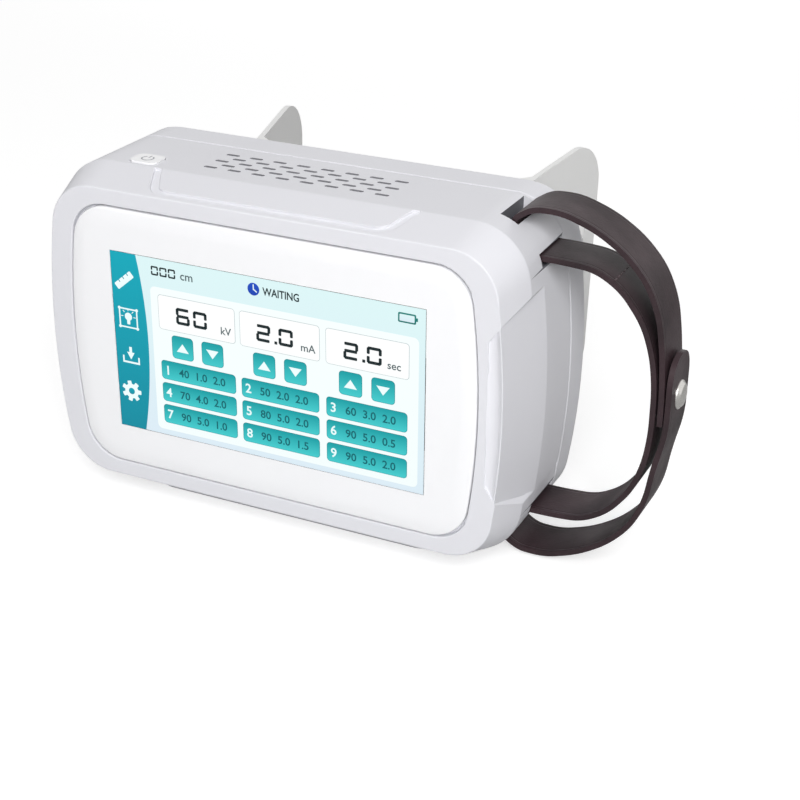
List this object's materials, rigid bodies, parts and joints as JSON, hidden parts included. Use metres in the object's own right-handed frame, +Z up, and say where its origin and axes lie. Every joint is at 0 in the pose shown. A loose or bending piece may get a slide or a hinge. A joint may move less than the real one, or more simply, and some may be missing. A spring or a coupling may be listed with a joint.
{
  "type": "hand-held portable x-ray machine",
  "caption": "Boxy hand-held x-ray machine with a touch screen in front, a leather hand strap at the side, a round collimator and a winged spacer frame at the rear.",
  "frame": {"origin": "middle of the rubber pad's underside, on the ground under the middle of the housing", "axes": "+Z up; the touch screen faces -Y and the beam leaves towards +Y; the hand strap is on the +X side"},
  "size_m": [0.2922, 0.1864, 0.1634],
  "materials": {
    "shell": "satin, light grey",
    "frame": "satin, warm light grey",
    "panel": "glossy white",
    "screen": "lit touch screen",
    "button": "glossy white",
    "plate": "satin white",
    "cover": "satin light grey",
    "socket": "black",
    "pad": "matt black",
    "strap": "soft dark brown",
    "stud": "polished",
    "lens": "clear",
    "amber": "translucent amber",
    "wheel": "cream"
  },
  "bodies": {
    "machine": {"front_shell": "shell", "rear_shell": "shell", "switch_clip": "shell", "spacer_frame": "frame", "collimator_plinth": "frame", "collimator_neck": "frame", "collimator_drum": "frame", "collimator_front": "frame", "front_plate": "frame", "face_panel": "panel", "touch_screen": "screen", "power_button": "button", "rear_plug": "button", "side_plate": "plate", "socket_block": "socket", "base_pad": "pad", "hand_strap": "strap", "snap_stud": "stud", "window_lens": "lens", "amber_insert": "amber", "thumb_wheel": "wheel"},
    "cover": {"socket_cover": "cover"}
  },
  "joints": [
    {"name": "cover_hinge", "type": "hinge", "parent": "machine", "child": "cover", "pos_m": [-0.1169, -0.012, 0.0425], "axis": [0, 0, 1], "range_deg": [0, 105]}
  ]
}
